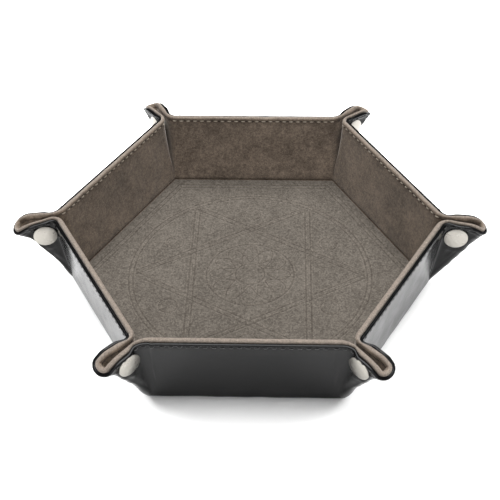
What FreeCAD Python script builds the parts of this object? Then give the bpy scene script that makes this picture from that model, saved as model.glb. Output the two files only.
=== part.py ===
# Folding hexagonal dice tray with snap-together corners.
#
# The tray is a soft laminate: a smooth cover outside, a velvet lining inside and stiff boards
# between them in the floor and in each wall.  The floor is a regular hexagon.  Six walls hinge on
# its sides, and between two walls the soft laminate (without a board) folds outwards into an ear,
# whose two layers are pinched together by one snap fastener.
#
# Row frame: millimetres, +Z up, origin at the centre of the underside, front wall towards -Y.
# The tray is drawn standing with its six corners snapped.
#
# Fold geometry: every fold line passes through a floor corner, on the lining surface of the floor
# and walls (the zero-thickness skeleton).  The floor and wall laminates lie on the cover side of
# that surface.  The ears have no board, so they start one board thickness further out, and their
# cover side is flush with that of the walls when the tray lies flat.
import FreeCAD, Part
import Sketcher
import math
import os

V = FreeCAD.Vector
os.makedirs("parts", exist_ok=True)
doc = FreeCAD.newDocument("dice_tray")

# ---------------------------------------------------------------- driving dimensions
sheet = doc.addObject("Spreadsheet::Sheet", "Params")
row = [0]


def cell(alias, value, note=""):
    row[0] += 1
    sheet.set("A%d" % row[0], alias)
    sheet.set("B%d" % row[0], "%.9g" % value)
    sheet.setAlias("B%d" % row[0], alias)
    if note:
        sheet.set("C%d" % row[0], note)
    return value


side = cell("floor_side", 95.0, "side of the floor hexagon at the lining crease")
height = cell("wall_height", 42.5, "wall height along the wall")
lean = cell("wall_lean", 6.4, "outward lean of the standing walls, degrees")
t_lining = cell("lining_thick", 1.6, "velvet and its backing")
t_board = cell("board_thick", 1.2, "grey board")
t_cover = cell("cover_thick", 1.0, "outer sheet")
fold_gap = cell("fold_gap", 0.2, "clearance at a floor crease")
mitre_gap = cell("mitre_gap", 0.15, "clearance at the mitre between wall and ear")
diag_gap = cell("diag_gap", 0.3, "clearance at the ear's middle fold")
rim_turn = cell("rim_turn", 1.6, "lining turned over the board's top edge")
board_foot = cell("board_foot", 1.4, "board set back from the crease")
board_end = cell("board_end", 0.8, "board set back from the wall's ends")
board_floor = cell("board_floor", 1.4, "floor board set back from the creases, on the side length")
tip_radius = cell("tip_radius", 14.0, "rounding of the flat sheet's corners")
snap_out = cell("snap_out", 9.45, "snap centre from the ear hinge")
snap_up = cell("snap_up", 33.4, "snap centre along the ear hinge")
cap_r = cell("cap_radius", 6.15, "snap cap")
cell("cap_rim", 0.55, "cap edge height")
cell("cap_height", 1.6, "cap height at its centre")
cell("post_radius", 1.7)
cell("post_hole", 1.8)
cell("socket_radius", 4.9)
cell("socket_height", 1.6)
cell("socket_bore", 2.6)
cell("socket_base", 0.4)
cell("socket_chamfer", 0.5)
cell("stud_flange", 4.4)
cell("stud_flange_thick", 0.4)
cell("stud_neck", 1.7)
cell("stud_head", 2.05)
cell("stud_height", 1.7)

NAMES_WALL = {270: "front", 330: "front_right", 30: "back_right", 90: "back", 150: "back_left", 210: "front_left"}
NAMES_CORNER = {300: "front_right", 0: "right", 60: "back_right", 120: "back_left", 180: "left", 240: "front_left"}

# each soft ear stands a little off its corner's middle plane, turned about the corner edge
# (degrees, anticlockwise seen from above)
SWING = {}
for deg_, swing_ in ((300, 15.0), (0, -4.0), (60, -14.0), (120, 2.0), (180, 12.0), (240, -15.0)):
    SWING[deg_] = cell("swing_" + NAMES_CORNER[deg_], swing_, "ear off the corner's middle plane, degrees")

# numbers that follow from the driving dimensions, kept in the sheet for the sketches
lean_r = math.radians(lean)
apothem = side * math.sqrt(3) / 2
corner_lean = math.atan(math.tan(lean_r) / math.cos(math.pi / 6))
tilt = math.atan(math.sin(lean_r) * math.tan(math.pi / 6))
half = math.pi / 6 - tilt                       # half angle of the gusset in the flat sheet
turn = math.acos(math.cos(lean_r) * 0.5)        # mean turn from wall to ear when standing
total = t_lining + t_board + t_cover

# tangent of half the turn at each of the twelve mitres between a wall and an ear layer
MT = {}
for deg_ in NAMES_CORNER:
    for half_, sg_ in (("socket", -1), ("stud", 1)):
        MT[deg_, half_] = cell("mt_%s_%s" % (NAMES_CORNER[deg_], half_),
                               math.tan((turn + sg_ * math.radians(SWING[deg_])) / 2))
cos_tilt = cell("cos_tilt", math.cos(tilt))


def trim(depth, mt_):                           # end trim along the wall at a depth below the lining
    return (depth * mt_ + mitre_gap) / cos_tilt


def e_trim(depth, key):
    return "((%s) * Params.mt_%s_%s + Params.mitre_gap) / Params.cos_tilt" % (depth, NAMES_CORNER[key[0]], key[1])


cell("flare", math.tan(tilt), "widening of the wall per millimetre of height, each end")
cell("gusset_half_angle", math.degrees(half))
cell("diag_length", height / math.cos(math.pi / 6))
cell("ear_thick", t_lining + t_cover)

subparts = []


# ---------------------------------------------------------------- helpers
def frame(origin, x, y, z):
    m = FreeCAD.Matrix(x.x, y.x, z.x, origin.x, x.y, y.y, z.y, origin.y, x.z, y.z, z.z, origin.z, 0, 0, 0, 1)
    return FreeCAD.Placement(m)


def wall_frame(deg):
    # x along the crease, y up the lining face, z outwards through the laminate
    a = math.radians(deg)
    n = V(math.cos(a), math.sin(a), 0)
    t = V(-math.sin(a), math.cos(a), 0)
    up = n * math.sin(lean_r) + V(0, 0, math.cos(lean_r))
    return frame(n * apothem + V(0, 0, total), t, up, t.cross(up))


def corner_frame(deg):
    # origin at the floor corner, x outwards in the ear's middle plane, y up the corner edge,
    # z across, towards the wall that comes before this corner anticlockwise
    a = math.radians(deg)
    u = V(math.cos(a), math.sin(a), 0)
    y = u * math.sin(corner_lean) + V(0, 0, math.cos(corner_lean))
    x0 = u * math.cos(corner_lean) - V(0, 0, math.sin(corner_lean))
    z0 = x0.cross(y)
    sw = math.radians(SWING[deg])
    x = x0 * math.cos(sw) - z0 * math.sin(sw)
    return frame(u * side + V(0, 0, total), x, y, x.cross(y))


def plane(body, role):
    return [f for f in body.Origin.OriginFeatures if f.Role == role][0]


def new_body(name, placement):
    b = doc.addObject("PartDesign::Body", "B_" + name)
    b.Label = name
    b.Placement = placement
    subparts.append((name, b))
    return b


def sketch_on(body, name, role, offset=None):
    s = body.newObject("Sketcher::SketchObject", name)
    s.AttachmentSupport = [(plane(body, role), "")]
    s.MapMode = "FlatFace"
    if offset is not None:
        s.setExpression("AttachmentOffset.Base.z", offset)
    return s


def line(s, p, q):
    return s.addGeometry(Part.LineSegment(V(p[0], p[1], 0), V(q[0], q[1], 0)), False)


def con(s, expr, *args):
    i = s.addConstraint(Sketcher.Constraint(*args))
    if expr:
        s.setExpression("Constraints[%d]" % i, expr)
    return i


def pad(body, name, s, length, reverse=False):
    p = body.newObject("PartDesign::Pad", name)
    p.Profile = s
    p.Reversed = reverse
    p.setExpression("Length", length)
    s.Visibility = False
    return p


def trapezium(body, name, offset, y0, y1, depth, extra, deg, e_y0, e_y1, e_depth, e_extra):
    # four-sided outline on the wall's own plane, trimmed at each end for its own mitre
    def reach(y, key):
        return side / 2 + y * math.tan(tilt) - trim(depth, MT[key]) - extra

    def e_reach(y, key):
        return "Params.floor_side / 2 + (%s) * Params.flare - %s - %s" % (y, e_trim(e_depth, key), e_extra)

    left = ((deg - 30) % 360, "stud")
    right = ((deg + 30) % 360, "socket")
    s = sketch_on(body, name, "XY_Plane", offset)
    pts = [(-reach(y0, left), y0), (reach(y0, right), y0), (reach(y1, right), y1), (-reach(y1, left), y1)]
    g = [line(s, pts[i], pts[(i + 1) % 4]) for i in range(4)]
    for i in range(4):
        con(s, None, "Coincident", g[i], 2, g[(i + 1) % 4], 1)
    con(s, None, "Horizontal", g[0])
    con(s, None, "Horizontal", g[2])
    con(s, e_y0, "DistanceY", -1, 1, g[0], 1, y0)
    con(s, e_y1, "DistanceY", -1, 1, g[2], 2, y1)
    con(s, e_reach(e_y0, left), "DistanceX", g[0], 1, -1, 1, reach(y0, left))
    con(s, e_reach(e_y0, right), "DistanceX", -1, 1, g[0], 2, reach(y0, right))
    con(s, e_reach(e_y1, right), "DistanceX", -1, 1, g[2], 1, reach(y1, right))
    con(s, e_reach(e_y1, left), "DistanceX", g[2], 2, -1, 1, reach(y1, left))
    return s


# ---------------------------------------------------------------- floor
def hexagon(body, name, offset, radius, e_radius):
    s = sketch_on(body, name, "XY_Plane", offset)
    p = [(radius * math.cos(math.radians(60 * i)), radius * math.sin(math.radians(60 * i))) for i in range(6)]
    g = [line(s, p[i], p[(i + 1) % 6]) for i in range(6)]
    c = s.addGeometry(Part.Circle(V(0, 0, 0), V(0, 0, 1), radius), True)
    for i in range(6):
        con(s, None, "Coincident", g[i], 2, g[(i + 1) % 6], 1)
    con(s, None, "Coincident", c, 3, -1, 1)
    for i in range(6):
        con(s, None, "PointOnObject", g[i], 1, c)
    for i in range(1, 6):
        con(s, None, "Equal", g[0], g[i])
    con(s, None, "PointOnObject", g[0], 1, -1)
    con(s, e_radius, "Radius", c, radius)
    return s


for name, off, rad, e_rad, thick in (
    ("floor_cover", "0 mm", side, "Params.floor_side", "Params.cover_thick"),
    ("floor_board", "Params.cover_thick", side - board_floor, "Params.floor_side - Params.board_floor", "Params.board_thick"),
    ("floor_lining", "Params.cover_thick + Params.board_thick", side, "Params.floor_side", "Params.lining_thick"),
):
    b = new_body(name, FreeCAD.Placement())
    s = hexagon(b, name + "_outline", off, rad, e_rad)
    pad(b, name + "_pad", s, thick)

# ---------------------------------------------------------------- walls
for deg, wname in NAMES_WALL.items():
    wf = wall_frame(deg)

    all_depth = "Params.lining_thick + Params.board_thick + Params.cover_thick"
    lip_depth = "Params.lining_thick + Params.board_thick"
    b = new_body(wname + "_wall_cover", wf)
    n = wname + "_cover"
    s = trapezium(b, n + "_outline", "Params.lining_thick + Params.board_thick", fold_gap, height, total, 0, deg,
                  "Params.fold_gap", "Params.wall_height", all_depth, "0")
    pad(b, n + "_pad", s, "Params.cover_thick")

    b = new_body(wname + "_wall_board", wf)
    n = wname + "_board"
    y1 = height - rim_turn
    s = trapezium(b, n + "_outline", "Params.lining_thick", board_foot, y1, t_lining + t_board, board_end, deg,
                  "Params.board_foot", "Params.wall_height - Params.rim_turn", lip_depth, "Params.board_end")
    pad(b, n + "_pad", s, "Params.board_thick")

    b = new_body(wname + "_wall_lining", wf)
    n = wname + "_lining"
    s = trapezium(b, n + "_outline", "0 mm", fold_gap, height, t_lining, 0, deg,
                  "Params.fold_gap", "Params.wall_height", "Params.lining_thick", "0")
    pad(b, n + "_pad", s, "Params.lining_thick")
    s = trapezium(b, n + "_turn_outline", "Params.lining_thick", y1, height, t_lining + t_board, 0, deg,
                  "Params.wall_height - Params.rim_turn", "Params.wall_height", lip_depth, "0")
    pad(b, n + "_turn_pad", s, "Params.board_thick")

# ---------------------------------------------------------------- ears
diag = height / math.cos(math.pi / 6)
hinge_len = height / math.cos(tilt)
fdir = (math.sin(half), math.cos(half))                      # middle fold, from the floor corner
T = (diag * fdir[0], diag * fdir[1])
A = (0.0, hinge_len)
cdist = tip_radius / math.sin(math.pi / 3)
C = (T[0] - cdist * fdir[0], T[1] - cdist * fdir[1])         # centre of the tip rounding
rl = math.hypot(T[0] - A[0], T[1] - A[1])
rdir = ((T[0] - A[0]) / rl, (T[1] - A[1]) / rl)
q2 = (C[0] - rdir[1] * tip_radius, C[1] + rdir[0] * tip_radius)
nrm = (-fdir[1], fdir[0])                                    # from the middle fold towards the hinge
along = math.sqrt(tip_radius ** 2 - diag_gap ** 2)
q1 = (C[0] + along * fdir[0] + diag_gap * nrm[0], C[1] + along * fdir[1] + diag_gap * nrm[1])


def ear_outline(body, name, offset, key):
    ear_trim = total * MT[key] + mitre_gap                   # the layer starts this far from its hinge
    e_ear_trim = "(Params.lining_thick + Params.board_thick + Params.cover_thick) * Params.mt_%s_%s + Params.mitre_gap" % (
        NAMES_CORNER[key[0]], key[1])
    q0 = (ear_trim, (ear_trim - diag_gap * nrm[0]) / fdir[0] * fdir[1] + diag_gap * nrm[1])
    q3 = (ear_trim, A[1] + ear_trim * rdir[1] / rdir[0])
    s = sketch_on(body, name, "XY_Plane", offset)
    # construction: middle fold and rim line of the flat sheet
    c1 = s.addGeometry(Part.LineSegment(V(0, 0, 0), V(T[0], T[1], 0)), True)
    c2 = s.addGeometry(Part.LineSegment(V(A[0], A[1], 0), V(T[0], T[1], 0)), True)
    con(s, None, "Coincident", c1, 1, -1, 1)
    con(s, None, "Coincident", c2, 2, c1, 2)
    con(s, None, "PointOnObject", c2, 1, -2)
    con(s, "Params.gusset_half_angle * 1 deg", "Angle", c1, 1, -2, 1, half)
    con(s, "Params.diag_length", "Distance", c1, math.hypot(*T))
    con(s, None, "Angle", c2, 2, c1, 2, math.pi / 3)
    # outline
    a0 = line(s, q3, q0)
    a1 = line(s, q0, q1)
    ang1 = math.atan2(q1[1] - C[1], q1[0] - C[0])
    ang2 = math.atan2(q2[1] - C[1], q2[0] - C[0])
    circ = Part.Circle(V(C[0], C[1], 0), V(0, 0, 1), tip_radius)
    a2 = s.addGeometry(Part.ArcOfCircle(circ, ang1, ang2), False)
    a3 = line(s, q2, q3)
    con(s, None, "Coincident", a0, 2, a1, 1)
    con(s, None, "Coincident", a1, 2, a2, 1)
    con(s, None, "Coincident", a3, 2, a0, 1)
    con(s, None, "Vertical", a0)
    con(s, e_ear_trim, "DistanceX", -1, 1, a0, 2, ear_trim)
    con(s, None, "Parallel", a1, c1)
    con(s, "Params.diag_gap", "Distance", a1, 1, c1, diag_gap)
    con(s, None, "PointOnObject", a2, 3, c1)
    con(s, "Params.tip_radius", "Radius", a2, tip_radius)
    con(s, None, "Tangent", a2, 2, a3, 1)
    con(s, None, "PointOnObject", a3, 1, c2)
    con(s, None, "PointOnObject", a3, 2, c2)
    # hole for the snap's post
    h_ = s.addGeometry(Part.Circle(V(snap_out, snap_up, 0), V(0, 0, 1), 1.8), False)
    con(s, "Params.snap_out", "DistanceX", -1, 1, h_, 3, snap_out)
    con(s, "Params.snap_up", "DistanceY", -1, 1, h_, 3, snap_up)
    con(s, "Params.post_hole", "Radius", h_, 1.8)
    return s


def profile(body, name, pts, dims, arc=None):
    # closed half section on the XZ plane, first coordinate is the radius
    # pts: list of (r, z); dims: list of (index, expr for r or None, expr for z or None)
    s = sketch_on(body, name, "XZ_Plane")
    n_ = len(pts)
    g = []
    for i in range(n_):
        p, q = pts[i], pts[(i + 1) % n_]
        if arc and arc[0] == i:
            c_, r_ = arc[1], arc[2]
            a_s = math.atan2(p[1] - c_[1], p[0] - c_[0])
            a_e = math.atan2(q[1] - c_[1], q[0] - c_[0])
            circ = Part.Circle(V(c_[0], c_[1], 0), V(0, 0, 1), r_)
            g.append(s.addGeometry(Part.ArcOfCircle(circ, a_s, a_e), False))
        else:
            g.append(line(s, p, q))
    for i in range(n_):
        con(s, None, "Coincident", g[i], 2, g[(i + 1) % n_], 1)
    for i, er, ez in dims:
        p = pts[i]
        if abs(p[0]) < 1e-9:
            con(s, None, "PointOnObject", g[i], 1, -2)
        else:
            con(s, er, "DistanceX", -1, 1, g[i], 1, p[0])
        if abs(p[1]) < 1e-9:
            con(s, None, "PointOnObject", g[i], 1, -1)
        elif p[1] > 0:
            con(s, ez, "DistanceY", -1, 1, g[i], 1, p[1])
        else:
            con(s, ez, "DistanceY", g[i], 1, -1, 1, -p[1])
    if arc:
        con(s, None, "PointOnObject", g[arc[0]], 3, -2)       # the dome's centre is on the axis
    return s


def revolve(body, name, s):
    r = body.newObject("PartDesign::Revolution", name)
    r.Profile = s
    r.ReferenceAxis = (s, ["V_Axis"])
    r.Angle = 360.0
    s.Visibility = False
    return r


ear_t = t_lining + t_cover
cap_rim, cap_h = 0.55, 1.6
# dome through the cap's rim edge and its crown, with its centre on the axis
dome = (cap_r ** 2 + (cap_h - cap_rim) ** 2) / (2 * (cap_h - cap_rim))
dome_c = (0.0, cap_h - dome)

for deg, cname in NAMES_CORNER.items():
    cf = corner_frame(deg)
    X = cf.Rotation.multVec(V(1, 0, 0))
    Y = cf.Rotation.multVec(V(0, 1, 0))
    Z = cf.Rotation.multVec(V(0, 0, 1))
    centre = cf.Base + X * snap_out + Y * snap_up

    # the two layers of the ear, lining faces one board thickness from the middle plane
    b = new_body(cname + "_ear_socket_half", cf)
    s = ear_outline(b, cname + "_ear_a_outline", "Params.board_thick", (deg, "socket"))
    pad(b, cname + "_ear_a_pad", s, "Params.ear_thick")
    b = new_body(cname + "_ear_stud_half", cf)
    s = ear_outline(b, cname + "_ear_b_outline", "-(Params.board_thick + Params.ear_thick)", (deg, "stud"))
    pad(b, cname + "_ear_b_pad", s, "Params.ear_thick")

    for half_name, sgn in (("socket", 1), ("stud", -1)):
        zc = Z * sgn
        xc = X * sgn
        face = frame(centre + zc * total, xc, Y, zc)          # on the ear's cover face
        b = new_body("%s_cap_%s_side" % (cname, half_name), face)
        pts = [(0, -ear_t), (1.7, -ear_t), (1.7, 0), (cap_r, 0), (cap_r, cap_rim), (0, cap_h)]
        s = profile(b, "%s_cap_%s_profile" % (cname, half_name), pts,
                    [(0, None, "Params.ear_thick"), (1, "Params.post_radius", "Params.ear_thick"),
                     (2, "Params.post_radius", None), (3, "Params.cap_radius", None),
                     (4, "Params.cap_radius", "Params.cap_rim"), (5, None, "Params.cap_height")],
                    arc=(4, dome_c, dome))
        revolve(b, "%s_cap_%s_rev" % (cname, half_name), s)

    # socket: a ring with a blind bore, on the lining face, mouth towards the other half
    b = new_body(cname + "_snap_socket", frame(centre + Z * t_board, X * -1, Y, Z * -1))
    pts = [(0, 0), (4.9, 0), (4.9, 1.1), (4.4, 1.6), (2.6, 1.6), (2.6, 0.4), (0, 0.4)]
    s = profile(b, cname + "_socket_profile", pts,
                [(0, None, None), (1, "Params.socket_radius", None),
                 (2, "Params.socket_radius", "Params.socket_height - Params.socket_chamfer"),
                 (3, "Params.socket_radius - Params.socket_chamfer", "Params.socket_height"),
                 (4, "Params.socket_bore", "Params.socket_height"),
                 (5, "Params.socket_bore", "Params.socket_base"), (6, None, "Params.socket_base")])
    revolve(b, cname + "_socket_rev", s)

    # stud: a flange on the other lining face with a headed knob that enters the socket
    b = new_body(cname + "_snap_stud", frame(centre - Z * t_board, X, Y, Z))
    pts = [(0, 0), (4.4, 0), (4.4, 0.4), (1.7, 0.4), (1.7, 1.0), (2.05, 1.25), (2.05, 1.5), (1.8, 1.7), (0, 1.7)]
    s = profile(b, cname + "_stud_profile", pts,
                [(0, None, None), (1, "Params.stud_flange", None),
                 (2, "Params.stud_flange", "Params.stud_flange_thick"),
                 (3, "Params.stud_neck", "Params.stud_flange_thick"),
                 (4, "Params.stud_neck", "Params.stud_height - 0.7"),
                 (5, "Params.stud_head", "Params.stud_height - 0.45"),
                 (6, "Params.stud_head", "Params.stud_height - 0.2"),
                 (7, "Params.stud_head - 0.25", "Params.stud_height"),
                 (8, None, "Params.stud_height")])
    revolve(b, cname + "_stud_rev", s)

# ---------------------------------------------------------------- check and write
doc.recompute()
bad = []
for o in doc.Objects:
    st = list(o.State)
    if "Invalid" in st or "Error" in st:
        bad.append((o.Name, st))
for name, b in subparts:
    sh = b.Shape
    if sh.isNull() or not sh.isValid() or len(sh.Solids) != 1 or sh.Volume <= 0:
        bad.append((name, "shape"))
if bad:
    for x in bad:
        print("BAD", x)
    raise SystemExit("some objects failed")
assert len(subparts) <= 60
for name, b in subparts:
    b.Shape.exportStep("parts/%s.step" % name)
tot = 0.0
for name, b in subparts:
    tot += b.Shape.Volume
print("sub-parts", len(subparts), "volume mm3 %.0f" % tot)
bb = FreeCAD.BoundBox()
for name, b in subparts:
    bb.add(b.Shape.BoundBox)
print("box", [round(v, 2) for v in (bb.XMin, bb.YMin, bb.ZMin, bb.XMax, bb.YMax, bb.ZMax)])
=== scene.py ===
import bpy
import bmesh
import math
import numpy as np
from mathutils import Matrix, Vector


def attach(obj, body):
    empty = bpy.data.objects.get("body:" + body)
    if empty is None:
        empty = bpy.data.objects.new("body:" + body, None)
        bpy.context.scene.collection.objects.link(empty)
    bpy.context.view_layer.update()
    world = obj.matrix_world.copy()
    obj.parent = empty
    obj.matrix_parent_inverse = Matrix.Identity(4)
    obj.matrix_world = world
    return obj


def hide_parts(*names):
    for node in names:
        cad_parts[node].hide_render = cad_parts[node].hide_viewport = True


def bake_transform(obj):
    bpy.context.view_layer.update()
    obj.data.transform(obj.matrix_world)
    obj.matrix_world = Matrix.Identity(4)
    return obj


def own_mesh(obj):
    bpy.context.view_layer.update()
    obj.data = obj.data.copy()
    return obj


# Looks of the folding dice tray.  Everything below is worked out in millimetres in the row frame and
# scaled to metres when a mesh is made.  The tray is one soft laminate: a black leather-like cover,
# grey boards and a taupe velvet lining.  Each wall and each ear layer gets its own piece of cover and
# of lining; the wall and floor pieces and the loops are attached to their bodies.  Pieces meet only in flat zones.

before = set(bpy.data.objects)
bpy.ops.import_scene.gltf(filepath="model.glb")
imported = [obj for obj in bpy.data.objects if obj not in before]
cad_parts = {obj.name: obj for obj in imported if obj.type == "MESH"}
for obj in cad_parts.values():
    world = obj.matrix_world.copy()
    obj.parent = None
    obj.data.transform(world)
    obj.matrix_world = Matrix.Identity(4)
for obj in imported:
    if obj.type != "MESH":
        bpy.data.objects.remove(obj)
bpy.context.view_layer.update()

# ------------------------------------------------------------------------------------ the pattern
SIDE, H, T = 95.0, 42.5, 3.8
LEAN = math.radians(6.4)
APO = SIDE * math.sqrt(3) / 2
CL = math.atan(math.tan(LEAN) / math.cos(math.pi / 6))
TILT = math.atan(math.sin(LEAN) * math.tan(math.pi / 6))
BETA = math.pi / 6 - TILT
TURN = math.acos(math.cos(LEAN) * 0.5)
EDGE = H / math.cos(TILT)
TT = math.tan(TILT)
TIP_R = 14.0
S_TIP = 46.9                                     # fold line length to the rounded rim
CXT, CYT = (S_TIP - TIP_R) * math.sin(BETA), (S_TIP - TIP_R) * math.cos(BETA)
X_ROUND = CXT - TIP_R * math.sin(TILT)
SNAP = (9.45, 33.4)
WALLS = {270: "front", 330: "front_right", 30: "back_right", 90: "back", 150: "back_left", 210: "front_left"}
CORNERS = {300: "front_right", 0: "right", 60: "back_right", 120: "back_left", 180: "left", 240: "front_left"}
SWING = {300: 15.0, 0: -4.0, 60: -14.0, 120: 2.0, 180: 12.0, 240: -15.0}
# how far the two layers gape at the rim, and how thick the rim roll is on the ear
GAPE = {300: 0.9, 0: 1.2, 60: 1.2, 120: 1.2, 180: 2.3, 240: 1.0}
ROLL = {300: 1.35, 0: 0.65, 60: 0.6, 120: 0.5, 180: 0.5, 240: 1.45}
# how far the snap pulls the folded edge in, and how hard it closes the sheets there
PULL = {300: 2.1, 0: -0.5, 60: 1.4, 120: 1.6, 180: 2.1, 240: 2.0}
CLOSE = {300: 1.0, 0: 0.35, 60: 0.8, 120: 0.9, 180: 1.0, 240: 1.0}
STITCH_Y = 40.0
SEAM = 0.04                                      # each ear piece reaches this close to the fold line


def sst(t):
    t = np.clip(t, 0.0, 1.0)
    return t * t * (3 - 2 * t)


def wave(x, y, seed, size):
    """Smooth repeatable ripple between about -1 and 1; size is its wavelength in millimetres."""
    r = np.random.RandomState(seed)
    out = 0.0
    for i in range(5):
        a = r.uniform(0, 2 * math.pi)
        f = 2 * math.pi / (size * r.uniform(0.6, 1.5))
        out = out + np.sin(f * (x * math.cos(a) + y * math.sin(a)) + r.uniform(0, 6.28)) / 2.4
    return out


def wall_frame(deg):
    a = math.radians(deg)
    n, t = np.array((math.cos(a), math.sin(a), 0.0)), np.array((-math.sin(a), math.cos(a), 0.0))
    up = n * math.sin(LEAN) + np.array((0, 0, math.cos(LEAN)))
    return n * APO + np.array((0, 0, T)), t, up, np.cross(t, up), n


def corner_frame(deg):
    a = math.radians(deg)
    u, z = np.array((math.cos(a), math.sin(a), 0.0)), np.array((0, 0, 1.0))
    y = u * math.sin(CL) + z * math.cos(CL)
    x0 = u * math.cos(CL) - z * math.sin(CL)
    z0 = np.cross(x0, y)
    sw = math.radians(SWING[deg])
    x = x0 * math.cos(sw) - z0 * math.sin(sw)
    return u * SIDE + z * T, x, y, np.cross(x, y), u


def y_rim(x):
    """Height of the rim over the ear hinge's foot, along the hinge, at a distance x from the hinge."""
    x = np.asarray(x, float)
    line = EDGE + TT * x
    c = np.clip(TIP_R ** 2 - (x - CXT) ** 2, 1e-6, None)
    circle = CYT + np.sqrt(c)
    end = S_TIP * math.sin(BETA)
    out = np.where(x < X_ROUND, line, circle)
    return np.where(x > end, S_TIP * math.cos(BETA) - math.tan(BETA) * (x - end), out)


class Half:
    """One layer of an ear with the end of its wall: sg +1 is the socket layer, -1 the stud layer."""

    def __init__(self, deg, sg):
        self.deg, self.sg = deg, sg
        self.corner = CORNERS[deg]
        self.wall = WALLS[(deg - 30 * sg) % 360]
        self.kind = "socket" if sg > 0 else "stud"
        self.body = "%s_ear_%s_side" % (self.corner, self.kind)
        self.wbody = self.wall + "_wall"
        self.F, self.X, self.Y, Z, self.u = corner_frame(deg)
        self.Z = Z * sg
        self.wf = wall_frame((deg - 30 * sg) % 360)
        self.tau = TURN - sg * math.radians(SWING[deg])
        tt = math.tan(self.tau / 2)
        self.rc = min(6.2, (4.15 - T * tt) / tt)
        self.rl = self.rc * 1.35 + 3.0
        self.seed = int(deg) * 2 + (1 if sg > 0 else 0)

    def wall_point(self, L, y, d):
        o, x, up, z, _ = self.wf
        wx = self.sg * (SIDE / 2 + y * TT - L / math.cos(TILT))
        return o + wx[:, None] * x + y[:, None] * up + d[:, None] * z

    def ear_point(self, x, yc, s):
        return self.F + x[:, None] * self.X + yc[:, None] * self.Y + s[:, None] * self.Z

    # ---- layers of the ear as heights over its middle plane
    def gape(self, x, y, xt):
        s = x * math.sin(BETA) + y * math.cos(BETA)
        ds = np.hypot(x - SNAP[0], y - SNAP[1])
        return GAPE[self.deg] * sst((ds - 6.4) / 6.0) * sst((s - 22) / 16) * sst((x - xt) / 7.0)

    def zl(self, x, y, rho, xt):
        return 1.2 * sst(rho / 22) * (1 - 0.65 * self.pinch(x, y)) + self.gape(x, y, xt)

    def zc(self, x, y, v, xt):
        ds = np.hypot(x - SNAP[0], y - SNAP[1])
        far = sst((x - xt) / 3.0)
        p = x * math.cos(BETA) - y * math.sin(BETA)
        edge = sst(-p / 2.5)
        z = T + self.gape(x, y, xt) + ROLL[self.deg] * sst((v - 0.885) / 0.06) * sst((x - xt) / 5.0) - 0.75 * self.pinch(x, y)
        z = z + 0.28 * np.exp(-((ds - 8.6) / 1.2) ** 2) * far
        z = z - 0.10 * np.exp(-((ds - 6.25) / 0.5) ** 2) * far
        # soft folds that the snap pulls into the sheet: flat lines above it, slanting ones below
        above = sst((y - 38.2) / 2.0) * sst((43.5 - y) / 1.5) * far * edge
        ph = 0.9 * wave(x, y, self.seed + 3, 17)
        z = z + above * 0.17 * np.sin(2 * math.pi * y / 1.9 + 2.0 * ph)
        ang = np.arctan2(y - SNAP[1], x - SNAP[0])
        below = np.exp(-((ds - 10.5) / 3.6) ** 2) * sst((34 - y) / 6) * far * edge
        z = z + below * 0.22 * np.sin(9 * ang + 1.7 * ph + self.seed)
        low = sst((26 - y) / 8) * sst((y - 5) / 6) * far * edge
        z = z + low * 0.20 * wave(x, y, self.seed + 11, 9)
        return np.where(ds < 6.3, np.minimum(z, T), z)

    def p_out(self, v):
        # how far the folded edge stands beyond the fold line: pinched tight below the snap, open at the rim
        rim_ = 0.2 + PULL[self.deg] + 0.55 * GAPE[self.deg] + 0.45 * ROLL[self.deg]
        return 3.8 - PULL[self.deg] * sst((v - 0.04) / 0.30) + rim_ * sst((v - 0.74) / 0.26)

    def pinch(self, x, y):
        # both sheets close up towards the fold line, except at the rim and at the floor corner
        p = x * math.cos(BETA) - y * math.sin(BETA)
        s_ = x * math.sin(BETA) + y * math.cos(BETA)
        return CLOSE[self.deg] * sst((p + 3.4) / 3.4) * sst((s_ - 6) / 9) * sst((41 - s_) / 7)

    # ---- the lining sheet; a column is ("wall"|"arc"|"ear"|"strip"|"loop", share)
    def lining(self, col, y, d):
        kind, f = col
        v = y / H
        rho = v * EDGE
        zb = 1.2 * sst(rho / 22)
        R = self.rl * sst(rho / 36) + 1e-4
        ct, st = math.cos(self.tau), math.sin(self.tau)
        Cs = zb + R
        Cx = (R - ct * Cs) / st
        Lt = -Cx * ct + Cs * st
        if kind == "wall":
            Lb = 2.2 + 6.8 * v
            return self.wall_point(Lb + (Lt - Lb) * f, y, d + self.flutter_l(Lb + (Lt - Lb) * f, y))
        k0 = (T - 1.0 - zb) / 2.8
        if kind == "arc":
            th = self.tau * (1 - f)
            k = 1 + (k0 - 1) * f
            r = np.maximum(R - d * k, 0.03)
            x = Cx - r * math.sin(th)
            s = Cs - r * math.cos(th)
            return self.ear_point(x, rho + TT * (-Lt + (Lt + Cx) * f), s)
        p0 = np.minimum(SEAM, 10 * v)
        sf = v * S_TIP
        xe = sf * math.sin(BETA) - p0 * math.cos(BETA)
        if kind in ("ear", "strip"):
            if kind == "ear":
                x = Cx + (xe - Cx) * f
                yc = v * y_rim(x / np.maximum(v, 1e-6))
            else:
                p = -p0 * (1 - f)
                x = sf * math.sin(BETA) + p * math.cos(BETA)
                yc = v * y_rim(x / np.maximum(v, 1e-6))
            zl = self.zl(x, yc, rho, Cx)
            k = (self.zc_plain(x, yc, v, Cx) - 1.0 - zl) / 2.8
            return self.ear_point(x, yc, zl + d * k)
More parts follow.
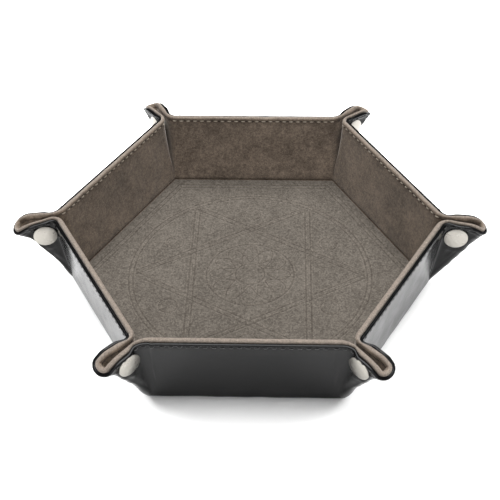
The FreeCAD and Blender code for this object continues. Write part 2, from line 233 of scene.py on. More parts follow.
        # loop: the sheet turning round the fold line
        a = f * math.pi / 2
        xf, yf = sf * math.sin(BETA), sf * math.cos(BETA)
        zl = self.zl(xf, yf, rho, Cx)
        th_ = self.zc_plain(xf, yf, v, Cx) - 1.0 - zl
        k = th_ / 2.8
        po = self.p_out(v)
        pi = np.maximum(po - 1.0 - th_, 0.02)
        kp = (po - 1.0 - pi) / 2.8
        p = (pi + d * kp) * math.sin(a)
        s = (zl + d * k) * math.cos(a)
        return self.ear_point(xf + p * math.cos(BETA), yf - p * math.sin(BETA), s)

    def zc_plain(self, x, y, v, xt):
        return T + self.gape(x, y, xt) + ROLL[self.deg] * sst((v - 0.885) / 0.06) * sst((x - xt) / 5.0) - 0.12 - 0.75 * self.pinch(x, y)

    def flutter_l(self, L, y):
        return 0.0 * L

    # ---- the cover sheet
    def cover_arc(self, v):
        rho = v * EDGE
        R = self.rc * sst(rho / 14) + 1e-4
        ct, st = math.cos(self.tau), math.sin(self.tau)
        Cs = T + R
        Cx = (T + R - ct * Cs) / st
        return rho, R, Cs, Cx, -Cx * ct + Cs * st

    def cover(self, col, y, d):
        kind, f = col
        v = y / H
        rho, R, Cs, Cx, Lt = self.cover_arc(v)
        if kind == "wall":
            Lb = 4.5 + 4.5 * v
            L = Lb + (Lt - Lb) * f
            return self.wall_point(L, y, d + self.gather(L, y, f))
        if kind == "arc":
            th = self.tau * (1 - f)
            r = R + (T - d)
            return self.ear_point(Cx - r * math.sin(th), rho + TT * (-Lt + (Lt + Cx) * f), Cs - r * math.cos(th))
        p0 = np.minimum(SEAM, 10 * np.maximum(v, 0))
        sf = v * S_TIP
        xe = np.maximum(sf * math.sin(BETA) - p0 * math.cos(BETA), Cx + 0.25)
        if kind in ("ear", "strip"):
            vv = np.maximum(v, 1e-6)
            if kind == "ear":
                x = Cx + (xe - Cx) * f
            else:
                x = sf * math.sin(BETA) - p0 * (1 - f) * math.cos(BETA)
            yc = vv * y_rim(x / vv)
            z = self.zc(x, yc, v, Cx)
            p = x * math.cos(BETA) - yc * math.sin(BETA)
            lim = self.p_out(v)
            over = z * np.sqrt(np.clip(1 - (np.clip(p, 0, lim) / lim) ** 2, 0.0, 1)) - 0.05
            z = np.where(p > 1e-6, over, z)
            return self.ear_point(x, yc, z - (T - d))
        a = f * math.pi / 2
        vp = np.maximum(v, 0.0)
        xf, yf = sf * math.sin(BETA), sf * math.cos(BETA)
        xq, yq = vp * S_TIP * math.sin(BETA), vp * S_TIP * math.cos(BETA)
        z = self.zc(xq, yq, vp, Cx if np.ndim(Cx) else Cx)
        po = self.p_out(vp)
        # below the floor corner the tube closes as part of a ball
        ball = np.where(v < 0, np.sqrt(np.clip(1 - (sf / T) ** 2, 0.02, 1)), 1.0)
        soft = 0.18 * np.sin(2 * math.pi * sf / 7.5 + self.seed + wave(sf, 0 * sf, self.seed, 23)) * sst((sf - 8) / 8) * sst((44 - sf) / 5)
        q = ball * (po - (T - d) + soft * math.sin(a))
        w = ball * (z - (T - d))
        return self.ear_point(xf + q * math.sin(a) * math.cos(BETA), yf - q * math.sin(a) * math.sin(BETA), w * math.cos(a))

    def gather(self, L, y, f):
        # upright soft gathers beside the bend, fading out at both ends of the strip and at the floor
        fade = math.sin(math.pi * f) * sst((y - 6) / 10)
        ridge = 0.20 * math.exp(-((f - 0.42) / 0.15) ** 2)
        return fade * (0.15 * wave(L * 2.2, y * 0.22, self.seed + 5, 6) + ridge - 0.05)


# ------------------------------------------------------------------------------------ mesh helpers
def make(name, verts, faces, mat, attrs=None, sharp=38.0):
    me = bpy.data.meshes.new(name)
    me.from_pydata((np.asarray(verts, float) * 0.001).tolist(), [], faces)
    bm = bmesh.new()
    bm.from_mesh(me)
    bmesh.ops.recalc_face_normals(bm, faces=bm.faces[:])
    bm.to_mesh(me)
    bm.free()
    me.polygons.foreach_set("use_smooth", [True] * len(me.polygons))
    me.set_sharp_from_angle(angle=math.radians(sharp))
    for key, values in (attrs or {}).items():
        at = me.attributes.new(key, "FLOAT", "POINT")
        at.data.foreach_set("value", np.asarray(values, np.float32))
    me.materials.append(mat)
    ob = bpy.data.objects.new(name, me)
    bpy.context.scene.collection.objects.link(ob)
    return ob


def loft(name, secs, mat, attrs=None, sharp=38.0):
    """A closed shell swept through sections; each section is one closed loop that runs up one face
    of the sheet and down the other, with an even number of points."""
    secs = np.asarray(secs, float)
    N, K, _ = secs.shape
    faces = []
    for i in range(N - 1):
        a, b = i * K, (i + 1) * K
        for k in range(K):
            k2 = (k + 1) % K
            faces.append((a + k, a + k2, b + k2, b + k))
    for base, flip in ((0, False), ((N - 1) * K, True)):
        for k in range(K // 2 - 1):
            q = (base + k, base + k + 1, base + K - 2 - k, base + K - 1 - k)
            faces.append(q if flip else q[::-1])
    if attrs:
        attrs = {k: np.tile(np.asarray(v, float), N) if np.size(v) == K else np.ravel(v) for k, v in attrs.items()}
    return make(name, secs.reshape(-1, 3), faces, mat, attrs, sharp)


# rows of the sheet profiles: (height up the wall, depth through the laminate)
def lining_profile(y0):
    ys = np.concatenate([[y0, y0 + 0.35, y0 + 0.8, y0 + 1.4], np.linspace(y0 + 3, 36.5, 17), [37.6, 38.4, 39.0, 39.35, 39.65]])
    dip = 0.55 * (1 - np.clip((ys - y0) / 1.2, 0, 1)) ** 2
    inner = [(y, d) for y, d in zip(ys, dip)]
    inner += [(39.85, 0.26), (40.0, 0.34), (40.15, 0.26), (40.4, -0.12), (40.8, -0.40)]
    arc = []
    for i in range(1, 12):
        a = math.pi * i / 12
        arc.append((41.15 + 1.5 * math.sin(a), 0.88 - 1.34 * math.cos(a)))
    n = len(inner)
    outer_y = [40.98] + [40.95] + list(np.linspace(39.5, y0, n - 2))
    outer_d = [2.06, 1.6] + [1.6] * (n - 2)
    # lit marks the roll's top and outer side, where the velvet is painted lighter: partly the roll's own lighter tone,
    # partly a painted highlight where the roll catches light
    lit = [0.0] * n + [float(sst((180.0 * i / 12 - 22) / 42)) for i in range(1, 12)] + [1.0] + [0.0] * (n - 1)
    pts = [(a_, b_, c_) for (a_, b_), c_ in zip(inner + arc + list(zip(outer_y, outer_d)), lit)]
    if len(pts) % 2:
        pts.insert(n + 5, tuple((pts[n + 4][q] + pts[n + 5][q]) / 2 for q in range(3)))
    y, d, rim = np.array(pts).T
    # painted shade along the stitch seam groove on the lining
    groove_shade = np.exp(-((y - STITCH_Y) / 0.45) ** 2) * (d < 0.6)
    return y, d, rim, groove_shade


def cover_profile(y0, low=()):
    ys = np.concatenate([list(low), [y0, y0 + 0.5], np.linspace(y0 + 1.2, 34, 34), np.linspace(34.7, 38.8, 7)])
    dd = np.full(len(ys), T)
    outer = list(zip(ys, dd))
    outer += [(39.3, 3.76), (39.65, 3.66), (39.9, 3.56), (40.0, 3.54), (40.1, 3.56), (40.35, 3.70), (40.7, 3.90), (41.05, 4.01), (41.3, 4.03)]
    edge = [(41.52, 3.95), (41.70, 3.73), (41.82, 3.44), (41.86, 3.12), (41.82, 2.80), (41.70, 2.52), (41.49, 2.34), (41.22, 2.27), (40.99, 2.30), (40.965, 2.8)]
    n = len(outer)
    back = [(y, 2.8) for y in np.concatenate([[40.6], [min(p[0], 40.3) for p in outer[::-1][1:]]])]
    pts = outer + edge + back
    if len(pts) % 2:
        pts.insert(n + 3, ((pts[n + 2][0] + pts[n + 3][0]) / 2, (pts[n + 2][1] + pts[n + 3][1]) / 2))
    y, d = np.array(pts).T
    return y, d


# ------------------------------------------------------------------------------------ materials
def material(name):
    m = bpy.data.materials.new(name)
    m.use_nodes = True
    nt = m.node_tree
    return m, nt, nt.nodes["Principled BSDF"]


def node(nt, kind, **kw):
    n = nt.nodes.new(kind)
    for k, v in kw.items():
        if hasattr(n, k) and not k.startswith("i_"):
            setattr(n, k, v)
    return n


def ramp(nt, src, stops):
    r = nt.nodes.new("ShaderNodeValToRGB")
    e = r.color_ramp.elements
    e[0].position, e[0].color = stops[0][0], (*stops[0][1], 1)
    e[1].position, e[1].color = stops[1][0], (*stops[1][1], 1)
    for p, c in stops[2:]:
        x = e.new(p)
        x.color = (*c, 1)
    nt.links.new(src, r.inputs[0])
    return r.outputs[0]


def noise(nt, scale, detail=4.0, rough=0.6, stretch=None, dist=0.0):
    tc = nt.nodes.new("ShaderNodeTexCoord")
    src = tc.outputs["Object"]
    if stretch:
        mp = nt.nodes.new("ShaderNodeMapping")
        mp.inputs["Scale"].default_value = stretch
        nt.links.new(src, mp.inputs["Vector"])
        src = mp.outputs["Vector"]
    n = nt.nodes.new("ShaderNodeTexNoise")
    n.inputs["Scale"].default_value = scale
    n.inputs["Detail"].default_value = detail
    n.inputs["Roughness"].default_value = rough
    n.inputs["Distortion"].default_value = dist
    nt.links.new(src, n.inputs["Vector"])
    return n.outputs["Fac"]


def mixc(nt, fac, a, b, mode="MIX"):
    m = nt.nodes.new("ShaderNodeMix")
    m.data_type, m.blend_type = "RGBA", mode
    for sock, val in ((m.inputs[0], fac), (m.inputs[6], a), (m.inputs[7], b)):
        if hasattr(val, "is_output"):
            nt.links.new(val, sock)
        elif isinstance(val, (int, float)):
            sock.default_value = val
        else:
            sock.default_value = (*val, 1)
    return m.outputs[2]


def math_node(nt, op, a, b=None):
    m = nt.nodes.new("ShaderNodeMath")
    m.operation = op
    for sock, val in ((m.inputs[0], a), (m.inputs[1], b)):
        if val is None:
            continue
        if hasattr(val, "is_output"):
            nt.links.new(val, sock)
        else:
            sock.default_value = val
    return m.outputs[0]


def attribute(nt, name):
    a = nt.nodes.new("ShaderNodeAttribute")
    a.attribute_name = name
    return a.outputs["Fac"]


def bump(nt, p, height, strength, distance, chain=None):
    b = nt.nodes.new("ShaderNodeBump")
    b.inputs["Strength"].default_value = strength
    b.inputs["Distance"].default_value = distance
    nt.links.new(height, b.inputs["Height"])
    if chain is not None:
        nt.links.new(chain, b.inputs["Normal"])
    return b.outputs["Normal"]


def velvet(name, dark, light, rim_col_with_highlight, floor=False, even=1.0):
    m, nt, p = material(name)
    big = noise(nt, 55, 3, 0.55)
    patch = noise(nt, 210, 5, 0.62, dist=0.4)
    pile = noise(nt, 2600, 3, 0.75)
    mott = noise(nt, 620 if not floor else 950, 4, 0.7, dist=0.3 if not floor else 0.0)
    fac = math_node(nt, "ADD", math_node(nt, "MULTIPLY", big, 0.30 * even), math_node(nt, "MULTIPLY", patch, 0.30 * even))
    fac = math_node(nt, "ADD", fac, math_node(nt, "MULTIPLY", mott, 1.0 - 0.60 * even))
    col = ramp(nt, fac, [(0.40, dark), (0.60, light)])
    grit = noise(nt, 1150 if not floor else 1500, 3, 0.8, dist=0.6 if not floor else 0.0)
    speck = ramp(nt, math_node(nt, "ADD", math_node(nt, "MULTIPLY", pile, 0.4), math_node(nt, "MULTIPLY", grit, 0.6)),
                 [(0.36, (0.60, 0.60, 0.60)), (0.64, (1.38, 1.375, 1.35))] if floor else
                 [(0.36, (0.50, 0.50, 0.50)), (0.64, (1.48, 1.47, 1.44))])
    col = mixc(nt, 1.0, col, speck, "MULTIPLY")
    if floor:
        em = attribute(nt, "emboss")
        # pressed lines: a painted highlight as a lighter lip along each line, and a darker bottom that is partly the
        # pressed pile's own tone and partly painted shade in the groove
        press_highlight_and_shade = ramp(nt, em, [(0.0, (1.0, 1.0, 1.0)), (0.16, (1.24, 1.235, 1.23)), (0.50, (0.97, 0.965, 0.96)), (1.0, (0.74, 0.73, 0.72))])
        col = mixc(nt, 1.0, col, press_highlight_and_shade, "MULTIPLY")
    else:
        # rim band: the roll's own lighter tone mixed with a painted highlight on the top of the roll
        rim = attribute(nt, "rim")
        rc = mixc(nt, 1.0, rim_col_with_highlight, speck, "MULTIPLY")
        col = mixc(nt, rim, col, rc)
        # painted shade: velvet darkened along the stitch seam groove and over the crease strips
        groove_shade_fac = attribute(nt, "groove_shade")
        col = mixc(nt, math_node(nt, "MULTIPLY", groove_shade_fac, 0.55), col, (dark[0] * 0.45, dark[1] * 0.43, dark[2] * 0.42))
    nt.links.new(col, p.inputs["Base Color"])
    p.inputs["Roughness"].default_value = 0.92
    p.inputs["Specular IOR Level"].default_value = 0.18
    p.inputs["Sheen Weight"].default_value = 0.40
    p.inputs["Sheen Roughness"].default_value = 0.42
    p.inputs["Sheen Tint"].default_value = (0.93, 0.86, 0.80, 1)
    n1 = bump(nt, p, pile, 0.55, 0.00025)
    n2 = bump(nt, p, patch, 0.35, 0.0006, n1)
    nt.links.new(n2, p.inputs["Normal"])
    return m


def leather(name, base=0.003, rough=(0.15, 0.27), grain=0.08):
    m, nt, p = material(name)
    big = noise(nt, 30, 3, 0.5)
    fine = noise(nt, 1500, 4, 0.6)
    smear = noise(nt, 120, 4, 0.6, dist=0.8)
    tc = nt.nodes.new("ShaderNodeTexCoord")
    vo = nt.nodes.new("ShaderNodeTexVoronoi")
    vo.feature = "F1"
    vo.inputs["Scale"].default_value = 1150
    nt.links.new(tc.outputs["Object"], vo.inputs["Vector"])
    col = ramp(nt, smear, [(0.35, (base * 0.75, base * 0.75, base * 0.8)), (0.70, (base * 1.5, base * 1.48, base * 1.5))])
    nt.links.new(col, p.inputs["Base Color"])
    fac = math_node(nt, "ADD", math_node(nt, "MULTIPLY", big, 0.5), math_node(nt, "MULTIPLY", smear, 0.5))
    mr = nt.nodes.new("ShaderNodeMapRange")
    mr.inputs["From Min"].default_value, mr.inputs["From Max"].default_value = 0.35, 0.68
    mr.inputs["To Min"].default_value, mr.inputs["To Max"].default_value = rough
    nt.links.new(fac, mr.inputs["Value"])
    nt.links.new(mr.outputs[0], p.inputs["Roughness"])
    p.inputs["Specular IOR Level"].default_value = 0.5
    p.inputs["IOR"].default_value = 1.25
    n1 = bump(nt, p, vo.outputs["Distance"], grain, 0.00012)
    n2 = bump(nt, p, fine, grain * 0.7, 0.00010, n1)
    n3 = bump(nt, p, smear, 0.10, 0.0006, n2)
    nt.links.new(n3, p.inputs["Normal"])
    return m


def thread(name, a, b):
    m, nt, p = material(name)
    n = noise(nt, 1800, 3, 0.6)
    nt.links.new(ramp(nt, n, [(0.35, a), (0.65, b)]), p.inputs["Base Color"])
    p.inputs["Roughness"].default_value = 0.75
    p.inputs["Sheen Weight"].default_value = 0.2
    nt.links.new(bump(nt, p, noise(nt, 4200, 2, 0.5, stretch=(1, 1, 0.3)), 0.5, 0.00012), p.inputs["Normal"])
    return m


def metal(name, tint, rough):
    m, nt, p = material(name)
    sm = noise(nt, 260, 4, 0.6, dist=0.5)
    col = ramp(nt, sm, [(0.3, tuple(c * 0.94 for c in tint)), (0.7, tint)])
    nt.links.new(col, p.inputs["Base Color"])
    p.inputs["Metallic"].default_value = 0.93
    mr = nt.nodes.new("ShaderNodeMapRange")
    mr.inputs["To Min"].default_value, mr.inputs["To Max"].default_value = rough
    nt.links.new(sm, mr.inputs["Value"])
    nt.links.new(mr.outputs[0], p.inputs["Roughness"])
    n1 = bump(nt, p, noise(nt, 900, 5, 0.7), 0.12, 0.0002)
    nt.links.new(bump(nt, p, noise(nt, 5000, 2, 0.7), 0.10, 0.00005, n1), p.inputs["Normal"])
    return m


def board(name):
    m, nt, p = material(name)
    n = noise(nt, 700, 5, 0.7)
    nt.links.new(ramp(nt, n, [(0.35, (0.24, 0.22, 0.19)), (0.66, (0.37, 0.34, 0.30))]), p.inputs["Base Color"])
    p.inputs["Roughness"].default_value = 0.88
    nt.links.new(bump(nt, p, noise(nt, 2500, 3, 0.7), 0.3, 0.0002), p.inputs["Normal"])
    return m


M_WALL = velvet("velvet_walls", (0.084, 0.064, 0.048), (0.207, 0.160, 0.121), (0.205, 0.172, 0.146))
# painted light: the back wall's velvet is a brighter copy of the wall velvet, painted lighter to stand in for more
# light on the back wall
M_WALL_BACK_BRIGHTENED = velvet("velvet_wall_back_brightened", (0.108, 0.084, 0.066), (0.258, 0.205, 0.162), (0.215, 0.180, 0.152))
# painted shade: the floor velvet is a darker copy of the wall velvet, about half as bright, to offset the strong top
# light on the floor
M_FLOOR_DARKENED = velvet("velvet_floor_darkened", (0.056, 0.048, 0.040), (0.128, 0.113, 0.097), (0.4, 0.35, 0.3), floor=True, even=0.45)
M_COVER = leather("cover_leather")
M_UNDER = leather("cover_leather_under", 0.009, (0.30, 0.42), 0.12)
M_TAN = thread("thread_tan", (0.36, 0.30, 0.235), (0.56, 0.49, 0.40))
M_BLACK = thread("thread_black", (0.004, 0.004, 0.004), (0.016, 0.015, 0.015))
M_HOLE = thread("needle_hole_shade", (0.004, 0.003, 0.003), (0.010, 0.008, 0.007))
M_CAP = metal("snap_cap_nickel", (0.305, 0.290, 0.262), (0.22, 0.36))
M_SNAP = metal("snap_inner_nickel", (0.42, 0.41, 0.38), (0.28, 0.42))
M_BOARD = board("grey_board")

# CAD nodes that stay: boards, snap caps, sockets and studs
for n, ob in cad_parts.items():
    mat = M_CAP if "_cap_" in n else M_SNAP if "_snap_" in n else M_BOARD if n.endswith("_board") else None
    if mat is not None:
        ob.data.materials.clear()
        ob.data.materials.append(mat)
        if mat is not M_BOARD:
            ob.data.polygons.foreach_set("use_smooth", [True] * len(ob.data.polygons))
            ob.data.set_sharp_from_angle(angle=math.radians(35))

# ------------------------------------------------------------------------------------ floor pieces
def hexagon_sheet(name, z_top, z_bot, inset, mat, step, relief=None, dip=0.0):
    """A hexagonal sheet with a fine triangular top, so that relief can be pressed into it."""
    R = SIDE - inset / math.cos(math.pi / 6)
    n = int(round(R / step))
    a1 = np.array((R / n, 0.0))
    a2 = np.array((R / n * 0.5, R / n * math.sqrt(3) / 2))
    idx, pts = {}, []
    for j in range(-n, n + 1):
        for i in range(-n, n + 1):
            if abs(i + j) <= n:
                idx[(i, j)] = len(pts)
                pts.append(i * a1 + j * a2)
    pts = np.array(pts)
    ang = np.radians(np.array([30, 90, 150, 210, 270, 330]))
    edge = APO - inset - np.max(pts @ np.array([np.cos(ang), np.sin(ang)]), axis=1)
    z = np.full(len(pts), z_top)
    em = np.zeros(len(pts))
    if relief is not None:
        dz, em = relief(pts, edge)
        z = z + dz
    z = z - dip * (1 - np.clip(edge / 1.2, 0, 1)) ** 2
    top = np.column_stack([pts, z])
    faces = []
    for j in range(-n, n):
        for i in range(-n, n + 1):
            q = [(i, j), (i + 1, j), (i, j + 1), (i + 1, j + 1)]
            if q[0] in idx and q[1] in idx and q[2] in idx:
                faces.append((idx[q[0]], idx[q[1]], idx[q[2]]))
            if q[1] in idx and q[3] in idx and q[2] in idx:
                faces.append((idx[q[1]], idx[q[3]], idx[q[2]]))
    # border in order, then the side and a plain underside
    ring = []
    i, j = n, 0
    for di, dj in ((-1, 1), (-1, 0), (0, -1), (1, -1), (1, 0), (0, 1)):
        for _ in range(n):
            ring.append(idx[(i, j)])
            i, j = i + di, j + dj
    base = len(pts)
    low = np.column_stack([pts[ring], np.full(len(ring), z_bot)])
    m = len(ring)
    for k in range(m):
        k2 = (k + 1) % m
        faces.append((ring[k], base + k, base + k2, ring[k2]))
    faces.append(tuple(base + k for k in range(m))[::-1])
    verts = np.vstack([top, low])
    em = np.concatenate([em, np.zeros(m)])
    return make(name, verts, faces, mat, {"emboss": em, "rim": em * 0, "groove_shade": em * 0})


def line(dist, width):
    return np.exp(-(np.abs(dist) / (width / 2)) ** 3)


def ornament(pts, edge):
    """A traditional geometric ornament pressed into the velvet: border, star of straight bands, rings
    and a rosette."""
    x, y = pts[:, 0], pts[:, 1]
    r, a = np.hypot(x, y), np.arctan2(y, x)
    g = np.maximum(line(edge - 5.2, 1.15), line(edge - 7.8, 1.15))
    for k in range(6):                                       # two large triangles, as double bands
        t = math.radians(60 * k)
        d = x * math.cos(t) + y * math.sin(t)
        s = -x * math.sin(t) + y * math.cos(t)
        inside = (r < 63.0) & (np.abs(s) < 58)
        over = (np.abs(s) > 3.2) | (np.abs(s) < 3.2)
        for off in (30.6, 33.4):
            g = np.maximum(g, line(d - off, 1.15) * inside * over)
    for rad in (64.2, 66.6, 24.0, 8.0):
        g = np.maximum(g, line(r - rad, 1.15))
    g = np.maximum(g, line((r - (16.0 + 6.2 * np.cos(6 * a))) / np.sqrt(1 + (37.0 * np.sin(6 * a) / np.maximum(r, 6)) ** 2), 0.9) * (r < 24))
    g = np.maximum(g, line((r - (16.0 - 6.2 * np.cos(6 * a))) / np.sqrt(1 + (37.0 * np.sin(6 * a) / np.maximum(r, 6)) ** 2), 0.9) * (r < 24))
    for k in range(6):                                       # small ring in each point of the star
        t = math.radians(30 + 60 * k)
        q = np.hypot(x - 50 * math.cos(t), y - 50 * math.sin(t))
        g = np.maximum(g, line(q - 5.0, 0.8))
    und = 0.05 * wave(x, y, 71, 22)
    return -0.36 * g + und * sst((edge - 1.5) / 6), g


lining_floor = hexagon_sheet("lining_floor", T, 2.2, 0.05, M_FLOOR_DARKENED, 0.56, ornament, dip=0.6)
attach(lining_floor, "floor")
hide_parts("floor_lining")
cover_floor = hexagon_sheet("cover_floor", 1.0, 0.0, 2.0, M_UNDER, 4.0)
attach(cover_floor, "floor")
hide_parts("floor_cover")

# ------------------------------------------------------------------------------------ walls
WALL_SEED = {n: i * 7 + 3 for i, n in enumerate(WALLS.values())}
crease_of, cover_of, lining_of = {}, {}, {}
for deg, name in WALLS.items():
    o, X, Y, Z, n = wall_frame(deg)
    seed = WALL_SEED[name]
    body = name + "_wall"

    # lining
    y, d, rim, groove_shade = lining_profile(0.05)
    secs = []
    for f in np.linspace(-1, 1, 71):
        xw = f * (SIDE / 2 + y * TT - (2.2 + 6.8 * y / H) / math.cos(TILT))
        soft = 0.10 * wave(xw, y, seed, 26) * sst((1 - abs(f)) / 0.12) * sst(y / 6) * sst((39 - y) / 4) * (d < 0.5)
        roll = 0.10 * wave(xw, 0 * y, seed + 1, 9) * rim * sst((1 - abs(f)) / 0.1)
        secs.append(o + xw[:, None] * X + (y + roll)[:, None] * Y + (d + soft)[:, None] * Z)
    lin = loft("lining_wall_" + name, secs, M_WALL_BACK_BRIGHTENED if name == "back" else M_WALL, {"rim": rim, "groove_shade": groove_shade, "emboss": rim * 0})
    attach(lin, body)
    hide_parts(body + "_lining")
    lining_of[name] = lin

    # cover
    y, d = cover_profile(1.0)
    count_c = int(2 * (SIDE / 2 + STITCH_Y * TT - (4.5 + 4.5 * STITCH_Y / H) / math.cos(TILT)) / 4.0)
    secs = []
    for f in np.linspace(-1, 1, 131):
        xw = f * (SIDE / 2 + y * TT - (4.5 + 4.5 * y / H) / math.cos(TILT))
        pull = np.clip(np.cos(2 * math.pi * (xw / 4.0 + 0.5 * (count_c % 2 == 0))), 0, 1) * np.exp(-((y - 39.15) / 0.6) ** 2) * (d > 3.4)
        soft = -0.17 * pull * sst((1 - abs(f)) / 0.03) + (0.09 * wave(xw, y * 0.6, seed + 2, 30)) * sst((1 - abs(f)) / 0.12) * sst((y - 1) / 6) * sst((38.6 - y) / 5)
        secs.append(o + xw[:, None] * X + y[:, None] * Y + (d + soft)[:, None] * Z)
    cov = loft("cover_wall_" + name, secs, M_COVER)
    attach(cov, body)
    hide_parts(body + "_cover")
    cover_of[name] = cov

    # crease between floor and wall
    up_to = math.pi / 2 - LEAN
    outer = [("f", l) for l in (2.0, 1.2, 0.5)] + [("a", t) for t in np.linspace(0, up_to, 13)] + [("w", l) for l in (0.5, 1.0)]
    secs = []
    for g in np.linspace(-1, 1, 81):
        ring = []
        for side_, R in ((0, T), (1, T - 1.0)):
            chain = []
            for kind, val in outer:
                if kind == "f":
                    xw = g * (SIDE / 2 - val * math.tan(math.pi / 6))
                    chain.append(o + xw * X - n * val - np.array((0, 0, 1.0)) * R)
                elif kind == "w":
                    xw = g * (SIDE / 2 + val * TT)
                    chain.append(o + xw * X + Y * val + Z * R)
                else:
                    xw = g * SIDE / 2
                    m_ = math.sin(math.pi * val / up_to)
                    rr = R + (0.10 * float(wave(np.array(xw), 0.0, seed + 4, 21)) * m_ * float(sst((1 - abs(g)) / 0.08)) if not side_ else 0)
                    chain.append(o + xw * X + rr * (-np.array((0, 0, 1.0)) * math.cos(val) + n * math.sin(val)))
            ring += chain if not side_ else chain[::-1]
        secs.append(ring)
    cr = loft("cover_crease_" + name, secs, M_COVER)
    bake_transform(cr)
    crease_of[name] = cr

# narrow velvet strip that closes the gap between the floor lining and each wall lining; the whole strip is darkened as
# painted shade in the crease
for deg, name in WALLS.items():
    o, X, Y, Z, n = wall_frame(deg)
    dn = np.array((0, 0, 1.0))
    up_to = math.pi / 2 - LEAN
    secs = []
    for g in np.linspace(-1, 1, 41):
        ring = []
        for side_, R in ((0, 1.0), (1, 0.5)):
            chain = [o + g * (SIDE / 2 - 0.3 * math.tan(math.pi / 6)) * X - n * 0.3 - dn * R]
            chain += [o + g * SIDE / 2 * X + R * (-dn * math.cos(t_) + n * math.sin(t_)) for t_ in np.linspace(0, up_to, 9)]
            chain += [o + g * (SIDE / 2 + 0.3 * TT) * X + Y * 0.3 + Z * R]
            ring += chain if not side_ else chain[::-1]
        secs.append(ring)
    k_ = len(secs[0])
    cr = loft("lining_crease_" + name, secs, M_WALL, {"rim": np.zeros(k_), "groove_shade": np.ones(k_), "emboss": np.zeros(k_)})
    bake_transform(cr)

# ------------------------------------------------------------------------------------ ears
halves = [Half(deg, sg) for deg in CORNERS for sg in (1, -1)]


def hname(h):
    return "%s_%s" % (h.corner, h.kind)


def keep_out(secs):
    """The pinched foot of a loop stays under the floor lining where it would reach into the tray."""
    out = []
    for ring in secs:
        ring = np.array(ring, dtype=float)
        reach = np.max([ring @ np.array((math.cos(math.radians(a)), math.sin(math.radians(a)), 0.0)) for a in WALLS], axis=0)
        inside = (reach < SIDE * math.sqrt(3) / 2 + 0.8) & (ring[:, 2] > 3.0)
        ring[inside, 2] = 3.0
        out.append(ring)
    return out


LCOLS = [("wall", f) for f in np.linspace(0, 1, 8)[:-1]] + [("arc", f) for f in np.linspace(0, 1, 13)[:-1]] + [("ear", f) for f in np.linspace(0, 1, 25)]
CCOLS = [("wall", f) for f in np.linspace(0, 1, 9)[:-1]] + [("arc", f) for f in np.linspace(0, 1, 11)[:-1]] + [("ear", f) for f in np.linspace(0, 1, 31)]
LOOP = [("strip", 0.0), ("strip", 0.5)] + [("loop", f) for f in np.linspace(0, 1, 11)]
ear_cover, ear_lining = {}, {}
for h in halves:
    y, d, rim, groove_shade = lining_profile(0.25)
    secs = [h.lining(c, y, d) for c in LCOLS]
    v_mat = M_WALL_BACK_BRIGHTENED if h.wall == "back" else M_WALL
    lin = loft("lining_ear_" + hname(h), secs, v_mat, {"rim": rim, "groove_shade": groove_shade, "emboss": rim * 0})
    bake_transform(lin)
    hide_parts("%s_ear_%s_half" % (h.corner, h.kind))
    secs = [h.lining(c, y, d) for c in LOOP]
    lo = loft("lining_loop_" + hname(h), secs, v_mat, {"rim": rim, "groove_shade": groove_shade, "emboss": rim * 0})
    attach(lo, h.body)
    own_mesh(lo)
    ear_lining[hname(h)] = (lin, lo)

    y, d = cover_profile(1.0)
    secs = [h.cover(c, y, d) for c in CCOLS]
    cov = loft("cover_ear_" + hname(h), secs, M_COVER, sharp=60)
    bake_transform(cov)
    low = [H * (-T * math.sin(math.radians(t))) / S_TIP for t in (52, 40, 28, 14)]
    y, d = cover_profile(0.45, low + [0.0])
    secs = [h.cover(c, y, d) for c in LOOP]
    secs = keep_out(secs)
    lo = loft("cover_loop_" + hname(h), secs, M_COVER, sharp=60)
    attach(lo, h.body)
    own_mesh(lo)
    ear_cover[hname(h)] = (cov, lo)

# rounded underside of each floor corner: the part of a ball between the two creases that meet there
for deg, cname in CORNERS.items():
    F, X, Y, Z, u = corner_frame(deg)
    t = np.array((-u[1], u[0], 0.0))
    up = np.array((0, 0, 1.0))
    rr, na, nb = T - 0.04, 9, 11
    half = math.radians(33)
    verts, faces = [], []
    for j in range(nb):                                      # from the rim of the ball to its lowest point
        el = math.radians(4) + (math.pi / 2 - math.radians(4)) * j / (nb - 1)
        for i in range(na):
            az = -half + 2 * half * i / (na - 1)
            e = u * math.cos(az) + t * math.sin(az)
            verts.append(F + rr * (math.cos(el) * e - math.sin(el) * up) if j < nb - 1 else F - rr * up + 0.02 * e)
    core = len(verts)
    verts.append(F + 0.2 * u - 2.2 * up)
    for j in range(nb - 1):
        for i in range(na - 1):
            k = j * na + i
            faces.append((k, k + 1, k + na + 1, k + na))
    for i in range(na - 1):
        faces.append((i + 1, i, core))
        k = (nb - 1) * na + i
        faces.append((k, k + 1, core))
    for j in range(nb - 1):
        faces.append((j * na, (j + 1) * na, core))
        faces.append(((j + 1) * na + na - 1, j * na + na - 1, core))
    ball = make("cover_corner_" + cname, verts, faces, M_COVER)
    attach(ball, "floor")


# ------------------------------------------------------------------------------------ stitching
def stitch_mesh(items, radius, name, mat, arch=0.28, sink=0.35, rings=9, seg=8):
    """items: (centre, tangent, normal, length).  Each stitch is a short thread that arches out of the
    sheet and dips into its two needle holes."""
    verts, faces = [], []
    for c, t, nn, ln in items:
        t = t / np.linalg.norm(t)
        nn = nn - t * (nn @ t)
        nn = nn / np.linalg.norm(nn)
        b = np.cross(t, nn)
        base = len(verts)
        for i in range(rings):
            q = -1 + 2 * i / (rings - 1)
            lift = arch * (1 - q * q) - sink * abs(q) ** 4
            r = radius * math.sqrt(max(1 - abs(q) ** 5, 0.04))
            cc = c + t * (q * ln / 2) + nn * lift
            for k in range(seg):
                w = 2 * math.pi * k / seg + q * 1.6
                verts.append(cc + (b * math.cos(w) * 1.15 + nn * math.sin(w) * 0.8) * r)
        for i in range(rings - 1):
            for k in range(seg):
                k2 = (k + 1) % seg
                faces.append((base + i * seg + k, base + i * seg + k2, base + (i + 1) * seg + k2, base + (i + 1) * seg + k))
        faces.append(tuple(base + k for k in range(seg))[::-1])
        faces.append(tuple(base + (rings - 1) * seg + k for k in range(seg)))
    return make(name, verts, faces, mat)


